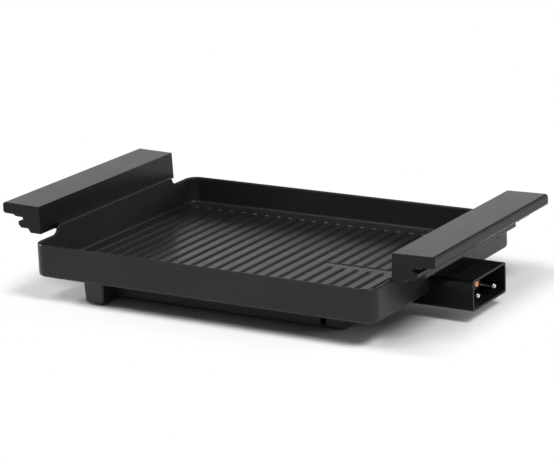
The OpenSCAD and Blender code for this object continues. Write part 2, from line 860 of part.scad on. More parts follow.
// Blind tube between the pins that leads the heat probe along the pan's underside
module probe_guide() {
    color([0.7, 0.7, 0.7])
        translate([guide_end, 0, guide_z])
            rotate([0, 90, 0])
                difference() {
                    cylinder(d = guide_d, h = insulator_front + guide_lip - guide_end);
                    translate([0, 0, 2])
                        cylinder(d = probe_d, h = insulator_front + guide_lip - guide_end);
                }
}

grill_pan();
left_handle();
right_handle();
handle_inserts(-1);  // left_handle_inserts
handle_inserts(1);  // right_handle_inserts
handle_screws(-1);  // left_handle_screws
handle_screws(1);  // right_handle_screws
handle_washers(-1);  // left_handle_washers
handle_washers(1);  // right_handle_washers
heating_element();
element_seals();
element_terminals();
element_clamps();
clamp_screws();
reflector_plate();
bottom_cover();
cover_screws();
left_foot_bar();
right_foot_bar();
foot_bar_screws();
rubber_feet(-bar_x, left_bar_l);  // left_rubber_feet
rubber_feet(bar_x, right_bar_l);  // right_rubber_feet
inlet_shroud();
inlet_screws();
inlet_insulator();
line_pin();
neutral_pin();
pin_nuts();
line_lead();
neutral_lead();
earth_contact();
probe_guide();
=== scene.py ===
# %% [markdown]
# A table grill
#
# The real thing is a cast aluminium pan with a black non-stick coat, ribs and
# grooves in its floor, a thick black handle bar on each end, and a small glossy
# box under the right handle where a plug-in heat control goes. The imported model
# holds every piece at its real size. This script keeps most of those pieces where
# they are, and rebuilds the ones whose edges and grooves catch the light.

# %% Load the fixed frame
import json
import math
import bmesh
import bpy
from mathutils import Matrix, Vector


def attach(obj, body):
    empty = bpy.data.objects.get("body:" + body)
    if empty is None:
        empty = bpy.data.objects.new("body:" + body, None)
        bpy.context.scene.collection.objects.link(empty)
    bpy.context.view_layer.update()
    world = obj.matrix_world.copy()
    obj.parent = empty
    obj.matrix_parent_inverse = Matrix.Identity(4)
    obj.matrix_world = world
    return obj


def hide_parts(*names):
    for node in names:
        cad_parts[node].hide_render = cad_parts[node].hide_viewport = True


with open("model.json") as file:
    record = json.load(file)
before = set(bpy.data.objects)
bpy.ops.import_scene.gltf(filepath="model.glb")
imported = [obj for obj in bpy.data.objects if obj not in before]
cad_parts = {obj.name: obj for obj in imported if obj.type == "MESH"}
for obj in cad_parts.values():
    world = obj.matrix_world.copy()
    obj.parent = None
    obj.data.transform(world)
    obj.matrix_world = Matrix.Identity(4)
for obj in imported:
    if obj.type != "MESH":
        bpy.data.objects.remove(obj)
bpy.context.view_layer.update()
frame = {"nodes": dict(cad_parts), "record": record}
MM = 0.001
print("pieces in the frame:", len(frame["nodes"]))

# %% [markdown]
# The camera
#
# The camera was placed by matching the pan's rims and the handles' corners to the
# photograph. It stands about 2.3 m away, turned a third of a right angle to the
# right and looking down 16 degrees, with a long lens. Giving it by an aim point,
# a distance and three angles keeps it readable: a reader can picture each number.

# %% Place the camera
PHOTO_WIDTH = 554
SENSOR = 36.0
FOCAL_PIXELS = 2416.2
AIM = Vector((-4.86, 13.44, 48.11)) * MM
CAMERA_DISTANCE = 2273.6 * MM
CAMERA_TURN = math.radians(31.592)
CAMERA_PITCH = math.radians(15.750)
CAMERA_ROLL = math.radians(-2.181)


def place_camera():
    """Makes the scene's camera and returns the direction it looks along."""
    forward = Vector((
        -math.sin(CAMERA_TURN) * math.cos(CAMERA_PITCH),
        math.cos(CAMERA_TURN) * math.cos(CAMERA_PITCH),
        -math.sin(CAMERA_PITCH),
    ))
    level = Vector((math.cos(CAMERA_TURN), math.sin(CAMERA_TURN), 0))
    upright = level.cross(forward)
    right = level * math.cos(CAMERA_ROLL) + upright * math.sin(CAMERA_ROLL)
    up = right.cross(forward)
    data = bpy.data.cameras.new("camera")
    data.sensor_width = SENSOR
    data.lens = FOCAL_PIXELS * SENSOR / PHOTO_WIDTH
    data.clip_start, data.clip_end = 0.05, 50
    camera = bpy.data.objects.new("camera", data)
    turn = Matrix((right, up, -forward)).transposed().to_4x4()
    camera.matrix_world = Matrix.Translation(AIM - forward * CAMERA_DISTANCE) @ turn
    bpy.context.scene.collection.objects.link(camera)
    bpy.context.scene.camera = camera
    return forward


look_along = place_camera()
print("camera looks along", tuple(round(v, 3) for v in look_along))

# %% [markdown]
# The studio
#
# A picture like this one is made on a white table with large soft lamps round it.
# The white surroundings matter as much as the lamps, because black ribs and handle
# tops seen at a flat angle mostly mirror the bright background behind the grill.
# More lamp power could make the table white too, but it would bleach the object.
# So the lamps stay at a plain level, and the world and the table turn white only
# for the rays that come from the camera or from a mirroring surface. Two small
# helpers come first: both place a node, wire it up and hand back its output.

# %% Helpers for number nodes
def math_node(nodes, links, operation, first, second=None):
    """A Math node fed by sockets or plain numbers. Returns its output."""
    node = nodes.new("ShaderNodeMath")
    node.operation = operation
    for socket, value in zip(node.inputs, (first, second)):
        if value is None:
            continue
        if isinstance(value, (int, float)):
            socket.default_value = value
        else:
            links.new(value, socket)
    return node.outputs[0]


def ease(nodes, links, value, start, end, low, high):
    """A smooth change from low to high while the value goes from start to end."""
    node = nodes.new("ShaderNodeMapRange")
    node.interpolation_type = "SMOOTHSTEP"
    links.new(value, node.inputs["Value"])
    for name, number in (("From Min", start), ("From Max", end), ("To Min", low), ("To Max", high)):
        node.inputs[name].default_value = number
    return node.outputs["Result"]


print("helpers: math_node and ease")

# %% [markdown]
# White surroundings
#
# The world could be one plain colour, but then a black object would be lit and
# mirrored alike from all sides. A Light Path node tells the rays apart instead. The
# camera sees plain white. A mirrored ray sees white low down, which fades out
# between two heights. Every other ray meets only a weak, even light.

# %% White surroundings
AROUND_LIGHT = 0.11
CEILING_LIGHT = 0.12
WHITE_BAND = (0.34, 0.50)


def white_surroundings():
    """Weak even light, plain white for the camera, and a white band low down for gloss."""
    world = bpy.data.worlds.new("studio")
    bpy.context.scene.world = world
    world.use_nodes = True
    nodes, links = world.node_tree.nodes, world.node_tree.links
    rays = nodes.new("ShaderNodeLightPath")
    place = nodes.new("ShaderNodeTexCoord")
    axes = nodes.new("ShaderNodeSeparateXYZ")
    links.new(place.outputs["Generated"], axes.inputs[0])
    seen = ease(nodes, links, axes.outputs["Z"], *WHITE_BAND, 1.0, CEILING_LIGHT)
    around = math_node(nodes, links, "MULTIPLY", seen, rays.outputs["Is Glossy Ray"])
    around = math_node(nodes, links, "MAXIMUM", around, AROUND_LIGHT)
    around = math_node(nodes, links, "MAXIMUM", around, rays.outputs["Is Camera Ray"])
    links.new(around, nodes["Background"].inputs["Strength"])
    nodes["Background"].inputs["Color"].default_value = (1, 1, 1, 1)


white_surroundings()
print("light from all around:", AROUND_LIGHT, "and white below height", WHITE_BAND[0])

# %% [markdown]
# The table
#
# The table is one large white sheet. Near the grill it is an ordinary matt paint
# that takes the shadow, and further off it turns plain white, as an overlit table
# does in a photograph. The change follows the distance from a rectangle a little
# longer than the pan, which four Vector Math steps work out.

# %% White table
TABLE_SIZE = 14
TABLE_WHITE, TABLE_ROUGH = (0.95, 0.95, 0.95, 1), 0.9
FOOTPRINT = (0.195, 0.136, 0.0)
WHITE_FROM = (0.010, 0.060)


def white_table():
    """A large white sheet that keeps the grill's soft shadow, and is plain white further off."""
    bpy.ops.mesh.primitive_plane_add(size=TABLE_SIZE)
    table = bpy.context.object
    table.name = "floor"
    paint = bpy.data.materials.new("white_table")
    paint.use_nodes = True
    nodes, links = paint.node_tree.nodes, paint.node_tree.links
    shader = nodes["Principled BSDF"]
    shader.inputs["Base Color"].default_value = TABLE_WHITE
    shader.inputs["Roughness"].default_value = TABLE_ROUGH
    shader.inputs["Specular IOR Level"].default_value = 0.0
    rays = nodes.new("ShaderNodeLightPath")
    place = nodes.new("ShaderNodeTexCoord")
    spot = place.outputs["Object"]
    steps = (("ABSOLUTE", None), ("SUBTRACT", FOOTPRINT), ("MAXIMUM", (0, 0, 0)), ("LENGTH", None))
    for operation, other in steps:
        step = nodes.new("ShaderNodeVectorMath")
        step.operation = operation
        links.new(spot, step.inputs[0])
        if other:
            step.inputs[1].default_value = other
        spot = step.outputs[0]
    far = ease(nodes, links, step.outputs["Value"], *WHITE_FROM, 0.0, 1.0)
    camera_ray, glossy_ray = rays.outputs["Is Camera Ray"], rays.outputs["Is Glossy Ray"]
    shown = math_node(nodes, links, "MAXIMUM", camera_ray, glossy_ray)
    plain = math_node(nodes, links, "MULTIPLY", far, shown)
    white = nodes.new("ShaderNodeEmission")
    mix = nodes.new("ShaderNodeMixShader")
    links.new(plain, mix.inputs["Fac"])
    links.new(shader.outputs[0], mix.inputs[1])
    links.new(white.outputs[0], mix.inputs[2])
    links.new(mix.outputs[0], nodes["Material Output"].inputs["Surface"])
    table.data.materials.append(paint)
    return table


white_table()
print("table turns plain white", WHITE_FROM, "metres from the pan")

# %% [markdown]
# The lamps
#
# Four Area lamps stand 2 m away: one low on the left that reaches in under the pan,
# two high ones in front and on the right, and a low wide one behind. A Sun or point
# lamp would be simpler, but its shadow has a hard edge, and the real one is soft. The
# lamp behind would show as a white patch in the pan's right wall, so gloss ignores it.

# %% Soft boxes
SOFT_BOXES = {
    "box_left": ((-1.77, -0.31, 0.88), 0.6, 0.6, 27.0),
    "box_front": ((-0.62, -0.94, 1.66), 0.6, 0.6, 9.0),
    "box_right": ((1.22, -0.40, 1.53), 0.6, 0.6, 21.0),
    "box_back": ((1.26, 1.50, 0.38), 2.4, 0.6, 30.0),
}
UNMIRRORED = {"box_back"}


def soft_box(name, place, width, height, watts):
    """An area lamp that faces the grill."""
    data = bpy.data.lights.new(name, "AREA")
    data.shape, data.size, data.size_y, data.energy = "RECTANGLE", width, height, watts
    lamp = bpy.data.objects.new(name, data)
    lamp.location = place
    lamp.rotation_mode = "QUATERNION"
    lamp.rotation_quaternion = (-Vector(place)).to_track_quat("-Z", "Y")
    lamp.visible_glossy = name not in UNMIRRORED
    bpy.context.scene.collection.objects.link(lamp)
    return lamp


for name, (place, width, height, watts) in SOFT_BOXES.items():
    soft_box(name, place, width, height, watts)
bpy.context.scene.view_settings.view_transform = "Standard"
print("soft boxes:", ", ".join(SOFT_BOXES))

# %% [markdown]
# Two shared effects
#
# Nearly every surface here is black, so what tells them apart is how evenly they
# shine. Two node groups do that work for all the finishes. The first is the fine
# tooth of a sprayed or moulded skin, and the second is the slow, patchy change
# from one hand's breadth to the next. Each is built once and placed in many
# materials with its own numbers, so the finishes stay related, as real ones do.

# %% Node group: fine surface tooth
def add_socket(group, name, direction, kind="NodeSocketFloat", value=None):
    """Adds one named input or output to a node group."""
    socket = group.interface.new_socket(name, in_out=direction, socket_type=kind)
    if value is not None:
        socket.default_value = value
    return socket


def make_tooth_group():
    """Fine bumps of a coat or a moulded skin, as a height."""
    group = bpy.data.node_groups.new("surface_tooth", "ShaderNodeTree")
    add_socket(group, "Cells per metre", "INPUT", value=900.0)
    add_socket(group, "Softness", "INPUT", value=0.5)
    add_socket(group, "Height", "OUTPUT")
    nodes, links = group.nodes, group.links
    come, go = nodes.new("NodeGroupInput"), nodes.new("NodeGroupOutput")
    place = nodes.new("ShaderNodeTexCoord")
    noise = nodes.new("ShaderNodeTexNoise")
    noise.inputs["Detail"].default_value = 3.0
    links.new(place.outputs["Object"], noise.inputs["Vector"])
    links.new(come.outputs["Cells per metre"], noise.inputs["Scale"])
    links.new(come.outputs["Softness"], noise.inputs["Roughness"])
    links.new(noise.outputs["Fac"], go.inputs["Height"])
    return group


tooth_group = make_tooth_group()
print("group:", tooth_group.name)

# %% Node group: slow patches
NUMBER_A, NUMBER_B, NUMBER_OUT = 2, 3, 0
FINE_SCALE = 320.0
PATCH_FROM, PATCH_TO = 0.3, 0.7


def make_patch_group():
    """Slow change over the surface, from 0 to 1, with a little fine break-up in it."""
    group = bpy.data.node_groups.new("slow_patches", "ShaderNodeTree")
    add_socket(group, "Patches per metre", "INPUT", value=14.0)
    add_socket(group, "Break-up", "INPUT", value=0.3)
    add_socket(group, "Patch", "OUTPUT")
    nodes, links = group.nodes, group.links
    come, go = nodes.new("NodeGroupInput"), nodes.new("NodeGroupOutput")
    place = nodes.new("ShaderNodeTexCoord")
    broad = nodes.new("ShaderNodeTexNoise")
    broad.inputs["Detail"].default_value = 2.0
    fine = nodes.new("ShaderNodeTexNoise")
    fine.inputs["Scale"].default_value = FINE_SCALE
    mix = nodes.new("ShaderNodeMix")
    links.new(place.outputs["Object"], broad.inputs["Vector"])
    links.new(place.outputs["Object"], fine.inputs["Vector"])
    links.new(come.outputs["Patches per metre"], broad.inputs["Scale"])
    links.new(come.outputs["Break-up"], mix.inputs["Factor"])
    links.new(broad.outputs["Fac"], mix.inputs[NUMBER_A])
    links.new(fine.outputs["Fac"], mix.inputs[NUMBER_B])
    spread = nodes.new("ShaderNodeMapRange")
    spread.inputs["From Min"].default_value = PATCH_FROM
    spread.inputs["From Max"].default_value = PATCH_TO
    links.new(mix.outputs[NUMBER_OUT], spread.inputs["Value"])
    links.new(spread.outputs["Result"], go.inputs["Patch"])
    return group


patch_group = make_patch_group()
print("group:", patch_group.name)

# %% [markdown]
# From effects to a finish
#
# Every finish below is the same small recipe: two colours and two roughnesses
# mixed by the slow patches, and the fine tooth as a bump. Only the numbers
# differ, so the recipe is one function. What stays the same all over a surface is
# set straight on the shader's socket. A Mix node keeps number and colour sockets
# side by side under the same names, so they are picked by their place in the row.

# %% The recipe for a finish
COLOUR_A, COLOUR_B, COLOUR_OUT = 6, 7, 2


def finish(name, dark, light, smooth, rough, metal=0.0, patches=14.0, cells=900.0,
           depth=0.00002, specular=0.5):
    """A material from two colours, two roughnesses and a bump. Returns the material."""
    material = bpy.data.materials.new(name)
    material.use_nodes = True
    nodes, links = material.node_tree.nodes, material.node_tree.links
    shader = nodes["Principled BSDF"]
    shader.inputs["Metallic"].default_value = metal
    shader.inputs["Specular IOR Level"].default_value = specular
    patch = nodes.new("ShaderNodeGroup")
    patch.node_tree = patch_group
    patch.inputs["Patches per metre"].default_value = patches
    tooth = nodes.new("ShaderNodeGroup")
    tooth.node_tree = tooth_group
    tooth.inputs["Cells per metre"].default_value = cells
    colour = nodes.new("ShaderNodeMix")
    colour.data_type = "RGBA"
    colour.inputs[COLOUR_A].default_value = (*dark, 1)
    colour.inputs[COLOUR_B].default_value = (*light, 1)
    links.new(patch.outputs["Patch"], colour.inputs["Factor"])
    links.new(colour.outputs[COLOUR_OUT], shader.inputs["Base Color"])
    gloss = nodes.new("ShaderNodeMapRange")
    gloss.inputs["To Min"].default_value = smooth
    gloss.inputs["To Max"].default_value = rough
    links.new(patch.outputs["Patch"], gloss.inputs["Value"])
    links.new(gloss.outputs["Result"], shader.inputs["Roughness"])
    bump = nodes.new("ShaderNodeBump")
    bump.inputs["Distance"].default_value = depth
    links.new(tooth.outputs["Height"], bump.inputs["Height"])
    links.new(bump.outputs["Normal"], shader.inputs["Normal"])
    return material


def grey(value):
    """A colour with no tint."""
    return (value, value, value)


print("one recipe for every finish")

# %% [markdown]
# The finishes
#
# The pan's coat is black and half dull with a fine orange peel. The handles and
# foot bars are moulded phenolic, and the inlet box is glossy enamel, with nickel pins
# and a copper spring in its mouth. What else there is hides under the pan: steel,
# brass, ceramic, rubber and a bright reflector. Each could be one flat colour, but
# two colours and two roughnesses give it the small changes that a real skin has.

# %% Finishes of this grill
finishes = {
    "nonstick_coating": finish(
        "nonstick_coating", grey(0.014), grey(0.021), 0.25, 0.33, cells=1100, depth=0.00004,
        specular=0.23),
    "handle_phenolic": finish(
        "handle_phenolic", grey(0.008), grey(0.012), 0.22, 0.30, cells=1500, depth=0.00002,
        specular=0.17),
    "foot_phenolic": finish(
        "foot_phenolic", grey(0.011), grey(0.018), 0.50, 0.62, cells=1200),
    "gloss_enamel": finish(
        "gloss_enamel", grey(0.006), grey(0.009), 0.06, 0.12, cells=600, specular=0.12),
    "cover_paint": finish(
        "cover_paint", grey(0.014), grey(0.024), 0.55, 0.68, cells=1000, specular=0.3),
    "fastener_steel": finish(
        "fastener_steel", grey(0.42), grey(0.56), 0.26, 0.42, metal=1.0, patches=60),
    "heater_sheath": finish(
        "heater_sheath", (0.16, 0.14, 0.12), (0.30, 0.26, 0.22), 0.34, 0.5, metal=1.0, patches=22),
    "clamp_steel": finish(
        "clamp_steel", grey(0.36), grey(0.50), 0.32, 0.48, metal=1.0, patches=50),
    "reflector_aluminium": finish(
        "reflector_aluminium", grey(0.62), grey(0.74), 0.16, 0.30, metal=1.0, patches=12),
    "ceramic": finish(
        "ceramic", (0.50, 0.47, 0.41), (0.60, 0.57, 0.51), 0.55, 0.72, patches=80, cells=1600),
    # Painted shade: the pins' colour is kept darker than bare nickel, for the dark box round them.
    "nickel_pins": finish(
        "nickel_pins", (0.22, 0.215, 0.20), (0.34, 0.33, 0.32), 0.06, 0.10, metal=1.0, patches=120),
    "brass_fittings": finish(
        "brass_fittings", (0.52, 0.38, 0.17), (0.66, 0.50, 0.25), 0.2, 0.34, metal=1.0, patches=90),
    "copper_spring": finish(
        "copper_spring", (0.55, 0.22, 0.14), (0.72, 0.34, 0.23), 0.2, 0.3, metal=0.9, patches=160),
    "foot_rubber": finish(
        "foot_rubber", grey(0.016), grey(0.024), 0.7, 0.85, cells=1400),
}
# Painted shade: a near-black steel for the handles' screws and washers, standing in for the shade
# under the flanges.
shade_painted_steel = finish("steel_painted_shade", grey(0.012), grey(0.03), 0.4, 0.55, metal=1.0, patches=70)
print("finishes:", len(finishes) + 1)

# %% [markdown]
# Painted highlights on the pins
#
# In the photograph the pins show only as two bright dots in a dark box. Here each
# dot is a painted highlight: a bright colour on the middle of a pin's domed end,
# while the rest stays dull. The highlight could be a piece of its own with its own
# finish, but a pin has no seam there. A mask from the place on the pin does it: the
# distance from the pin's middle line, wherever the pin is near its end.

# %% Painted highlights on the pin tips
PIN_Y, PIN_Z, PIN_TIP = 16.2 * MM, 21.7 * MM, 219.0 * MM
TIP_INNER, TIP_OUTER = 1.0 * MM, 1.9 * MM
# Painted highlight: the colour put on the middle of each pin's tip.
TIP_HIGHLIGHT_COLOUR = (0.86, 0.85, 0.83, 1)


def paint_tip_highlight(material):
    """Paints a highlight on the middle of each domed end and leaves the rest dull."""
    nodes, links = material.node_tree.nodes, material.node_tree.links
    shader = nodes["Principled BSDF"]
    place = nodes.new("ShaderNodeTexCoord")
    axes = nodes.new("ShaderNodeSeparateXYZ")
    links.new(place.outputs["Object"], axes.inputs[0])
    side = math_node(nodes, links, "ABSOLUTE", axes.outputs["Y"])
    side = math_node(nodes, links, "SUBTRACT", side, PIN_Y)
    side = math_node(nodes, links, "POWER", math_node(nodes, links, "ABSOLUTE", side), 2.0)
    rise = math_node(nodes, links, "SUBTRACT", axes.outputs["Z"], PIN_Z)
    rise = math_node(nodes, links, "POWER", math_node(nodes, links, "ABSOLUTE", rise), 2.0)
    away = math_node(nodes, links, "SQRT", math_node(nodes, links, "ADD", side, rise))
    spot = ease(nodes, links, away, TIP_INNER, TIP_OUTER, 1.0, 0.0)
    tip = math_node(nodes, links, "GREATER_THAN", axes.outputs["X"], PIN_TIP)
    mix = nodes.new("ShaderNodeMix")
    mix.data_type = "RGBA"
    links.new(math_node(nodes, links, "MULTIPLY", spot, tip), mix.inputs["Factor"])
    links.new(shader.inputs["Base Color"].links[0].from_socket, mix.inputs[COLOUR_A])
    mix.inputs[COLOUR_B].default_value = TIP_HIGHLIGHT_COLOUR
    links.new(mix.outputs[COLOUR_OUT], shader.inputs["Base Color"])


paint_tip_highlight(finishes["nickel_pins"])
# Prints how far out the painted highlight on each tip reaches.
print("pin tips polished out to", TIP_OUTER / MM, "mm")

# %% [markdown]
# Finishes on the model's pieces
#
# The record names a finish for each piece, so one loop puts them on. The handles'
# screws and washers are the exception. The record has them zinc plated, but they sit
# under the flanges and shone out there, where the photograph is dark, so here they
# get a near-black steel: painted shade, standing in for the shade under the flanges.

# %% Put the finishes on the model's pieces
slot_of = {row["node"]: row["material_slot"] for row in frame["record"]["subparts"]}
for name, node in frame["nodes"].items():
    node.data.materials.clear()
    # Painted shade: screws and washers under the flanges get the near-black steel.
    in_painted_shade = name.endswith(("handle_screws", "handle_washers"))
    node.data.materials.append(shade_painted_steel if in_painted_shade else finishes[slot_of[name]])
print("finishes:", len(finishes), "on", len(slot_of), "pieces")

# %% [markdown]
# Edges that catch the light
#
# A model straight from solid modelling has edges as sharp as a razor, and a razor
# edge never glints. Three modifiers mend that without touching the mesh: Weld
# joins the loose triangles, Bevel rounds whatever is sharper than a set angle,
# and Weighted Normal keeps the flat faces flat while the rounds shade smoothly.

# %% Round the sharp edges of a piece
JOIN_WITHIN = 0.005


def round_edges(piece, width, segments=2, angle=32):
    """Adds the three modifiers to a mesh piece. Width is in millimetres."""
    mesh = piece.data
    old_normals = mesh.attributes.get("custom_normal")
    if old_normals:
        mesh.attributes.remove(old_normals)
    mesh.polygons.foreach_set("use_smooth", [True] * len(mesh.polygons))
    weld = piece.modifiers.new("join", "WELD")
    weld.merge_threshold = JOIN_WITHIN * MM
    bevel = piece.modifiers.new("round", "BEVEL")
    bevel.width = width * MM
    bevel.segments = segments
    bevel.limit_method = "ANGLE"
    bevel.angle_limit = math.radians(angle)
    bevel.miter_outer = "MITER_ARC"
    normals = piece.modifiers.new("even", "WEIGHTED_NORMAL")
    normals.keep_sharp = False
    return piece


EDGE_ROUNDS = {
    "bottom_cover": 0.25, "reflector_plate": 0.2, "left_foot_bar": 0.5, "right_foot_bar": 0.5,
    "inlet_shroud": 0.7, "inlet_insulator": 0.4, "line_pin": 0.2, "neutral_pin": 0.2,
    "probe_guide": 0.3, "earth_contact": 0.12, "left_rubber_feet": 0.6, "right_rubber_feet": 0.6,
    "cover_screws": 0.25, "foot_bar_screws": 0.4, "inlet_screws": 0.3, "clamp_screws": 0.3,
    "left_handle_screws": 0.4, "right_handle_screws": 0.4, "left_handle_washers": 0.15,
    "right_handle_washers": 0.15, "pin_nuts": 0.2, "line_lead": 0.15, "neutral_lead": 0.15,
    "element_clamps": 0.2, "element_seals": 0.3, "element_terminals": 0.2,
    "left_handle_inserts": 0.2, "right_handle_inserts": 0.2, "heating_element": 0.2,
}
for name, width in EDGE_ROUNDS.items():
    round_edges(frame["nodes"][name], width)
print("pieces with rounded edges:", len(EDGE_ROUNDS))

# %% [markdown]
# The pan's sizes
#
# These are the model's own sizes in millimetres. The pan is drawn from a few
# numbers: a rounded rectangle, one wall section, and one groove section. The packed
# mesh could be kept, but its long thin triangles shade unevenly on the soft curves
# of the rim and the grooves, so the same casting is drawn again with even faces.

# %% Sizes of the pan
PAN_LENGTH, PAN_WIDTH = 360.0, 272.0
PAN_BOTTOM = 23.5
WALL_HEIGHT, WALL_THICK = 31.5, 3.0
CORNER_ROUND, BOTTOM_ROUND, INNER_ROUND = 13.0, 3.0, 3.0
FLOOR_THICK = 5.0
RAISE, RAISED_LENGTH, RAISE_RUN = 8.3, 183.0, 12.5
RIM_ROUND = WALL_THICK / 2
RAISE_CURVE = (RAISE_RUN ** 2 + RAISE ** 2) / (4 * RAISE)
RAISE_ANGLE = 2 * math.atan2(RAISE, RAISE_RUN)
STRAIGHT_END = 6
print("pan:", PAN_LENGTH, "by", PAN_WIDTH, "mm, end walls", WALL_HEIGHT + RAISE, "mm tall")

# %% [markdown]
# The rim line
#
# Seen from the end, the wall's top edge is straight along the handle, drops in an
# S-curve to the lower side walls, and stays fully round all the way. Each station
# below is a spot on the outline with its outward direction, the height of the
# rim's centre there, and how far the rim leans on the curve.

# %% Stations up an end wall
LEAN_STEPS, TOP_STEPS = 12, 5


def end_wall_stations(side):
    """Stations up one end wall, from y low to y high: (y, rim centre z, lean)."""
    half = RAISED_LENGTH / 2
    top = WALL_HEIGHT + RAISE
    spots = []
    for i in range(LEAN_STEPS + 1):
        lean = RAISE_ANGLE * i / LEAN_STEPS
        reach = RAISE_CURVE + RIM_ROUND
        spots.append((half + RAISE_RUN - reach * math.sin(lean),
                      WALL_HEIGHT + RAISE_CURVE - reach * math.cos(lean), lean))
    for i in range(LEAN_STEPS - 1, -1, -1):
        lean = RAISE_ANGLE * i / LEAN_STEPS
        reach = RAISE_CURVE - RIM_ROUND
        spots.append((half + reach * math.sin(lean),
                      top - RAISE_CURVE + reach * math.cos(lean), lean))
    upper = [(y, z, lean) for y, z, lean in reversed(spots)]
    lower = [(-y, z, -lean) for y, z, lean in spots]
    inner = [(half * k / TOP_STEPS, top - RIM_ROUND, 0.0)
             for k in range(1 - TOP_STEPS, TOP_STEPS)]
    line = lower + inner + upper
    return line if side > 0 else line[::-1]


print("stations up an end wall:", len(end_wall_stations(1)))

# %% Stations round the outline
CORNER_STEPS, SIDE_STEPS = 12, 12


def outline_stations():
    """Stations once round the pan: (x, y, out x, out y, rim centre z, lean along y)."""
    half_x, half_y = PAN_LENGTH / 2, PAN_WIDTH / 2
    low = WALL_HEIGHT - RIM_ROUND
    stations = []

    def corner(sx, sy, start):
        """Stations round one corner."""
        for i in range(CORNER_STEPS + 1):
            a = math.radians(start + 90 * i / CORNER_STEPS)
            cx, cy = sx * (half_x - CORNER_ROUND), sy * (half_y - CORNER_ROUND)
            stations.append((cx + CORNER_ROUND * math.cos(a), cy + CORNER_ROUND * math.sin(a),
                             math.cos(a), math.sin(a), low, 0.0))

    def side_wall(sy):
        """Stations along one long side."""
        for k in range(1, SIDE_STEPS):
            x = -sy * (-1 + 2 * k / SIDE_STEPS) * (half_x - CORNER_ROUND)
            stations.append((x, sy * half_y, 0.0, sy, low, 0.0))

    for y, z, lean in end_wall_stations(1):
        stations.append((half_x, y, 1.0, 0.0, z, lean))
    corner(1, 1, 0)
    side_wall(1)
    corner(-1, 1, 90)
    for y, z, lean in end_wall_stations(-1):
        stations.append((-half_x, y, -1.0, 0.0, z, lean))
    corner(-1, -1, 180)
    side_wall(-1)
    corner(1, -1, 270)
    return stations


stations = outline_stations()
print("stations round the pan:", len(stations))

# %% [markdown]
# The wall
#
# At each station the wall's section is walked from the floor, up the inside, over
# the round rim, down the outside and under the bottom edge. Joining the walks of
# neighbouring stations gives clean strips of four-sided faces. A curve with a bevel
# object could sweep the section too, but it can't keep the rim round while the wall
# grows taller under it.

# %% One walk over the wall
FOOT_STEPS, RIM_STEPS = 6, 10


def wall_walk(station):
    """Points of the section at one station, from the floor inside to the bottom."""
    x, y, out_x, out_y, rim_z, lean = station

    def at(inward, z, along=0.0):
        """A point this far in from the outline and this high over the bottom."""
        return Vector((x - inward * out_x, y - inward * out_y + along, PAN_BOTTOM + z))

    points = []
    foot = WALL_THICK + INNER_ROUND
    for i in range(FOOT_STEPS + 1):
        a = math.radians(90 * i / FOOT_STEPS)
        points.append(at(foot - INNER_ROUND * math.sin(a),
                         FLOOR_THICK + INNER_ROUND - INNER_ROUND * math.cos(a)))
    points.append(at(WALL_THICK, WALL_HEIGHT - STRAIGHT_END))
    for i in range(RIM_STEPS + 1):
        a = math.radians(180 * i / RIM_STEPS)
        lift = RIM_ROUND * math.sin(a)
        points.append(at(RIM_ROUND + RIM_ROUND * math.cos(a),
                         rim_z + lift * math.cos(lean), lift * math.sin(lean)))
    points.append(at(0, WALL_HEIGHT - STRAIGHT_END))
    for i in range(FOOT_STEPS + 1):
        a = math.radians(90 * i / FOOT_STEPS)
        points.append(at(BOTTOM_ROUND - BOTTOM_ROUND * math.cos(a),
                         BOTTOM_ROUND - BOTTOM_ROUND * math.sin(a)))
    return points


def add_wall(bm):
    """Adds the swept wall and returns its floor loop and its bottom loop."""
    walks = [[bm.verts.new(p * MM) for p in wall_walk(s)] for s in stations]
    count = len(walks)
    for i in range(count):
        here, there = walks[i], walks[(i + 1) % count]
        for j in range(len(here) - 1):
            bm.faces.new((here[j], here[j + 1], there[j + 1], there[j]))
    return [w[0] for w in walks], [w[-1] for w in walks]


print("points in one walk:", len(wall_walk(stations[0])))

# %% [markdown]
# The cooking floor
#
# Twenty-five round-nosed grooves run across the pan. From the fourth groove right of
# the middle a narrow channel crosses them, and the grooves in front of it stop
# short. They could be cut with Boolean modifiers, but those leave ragged
# faces where cuts cross. Every one of these cuts is also a height over the floor, so
# the floor is one grid whose lines lie close together only where the height turns.

# %% Sizes of the grooves
GROOVE_PITCH, GROOVE_WIDTH, GROOVE_DEPTH = 13.5, 5.4, 2.2
GROOVE_COUNT = 12
GROOVE_END = 120.0
EDGE_SOFT = 0.6
CHANNEL_START, CHANNEL_WIDTH, CHANNEL_LAND = 4, 3.0, 9.0
CHANNEL_EDGE = 0.35
FLOOR_REACH_Y, FLOOR_MIDDLE = 124.0, 60.0
groove_ball = (GROOVE_WIDTH ** 2 / 4 + GROOVE_DEPTH ** 2) / (2 * GROOVE_DEPTH)
ball_up = groove_ball - GROOVE_DEPTH
soft_at = math.sqrt((groove_ball + EDGE_SOFT) ** 2 - (ball_up + EDGE_SOFT) ** 2)
soft_from = soft_at * groove_ball / (groove_ball + EDGE_SOFT)
# How far from a groove's or the channel's middle the grid's lines run.
groove_steps = [0.0, 0.8, 1.5, 2.05, 2.4, soft_from, soft_from + 0.09, soft_from + 0.2,
                soft_from + 0.35, soft_at]
channel_steps = [0.0, 0.75, 1.2, 1.49, 1.51, 1.6, 1.7, CHANNEL_WIDTH / 2 + CHANNEL_EDGE]
print("grooves:", 2 * GROOVE_COUNT + 1, "of", GROOVE_WIDTH, "by", GROOVE_DEPTH, "mm")


# %% Height of the floor
def groove_height(away):
    """Height across a groove: a ball's round bottom, then a soft edge."""
    if away <= soft_from:
        return ball_up - math.sqrt(groove_ball ** 2 - away ** 2)
    if away < soft_at:
        return -EDGE_SOFT + math.sqrt(max(0.0, EDGE_SOFT ** 2 - (soft_at - away) ** 2))
    return 0.0


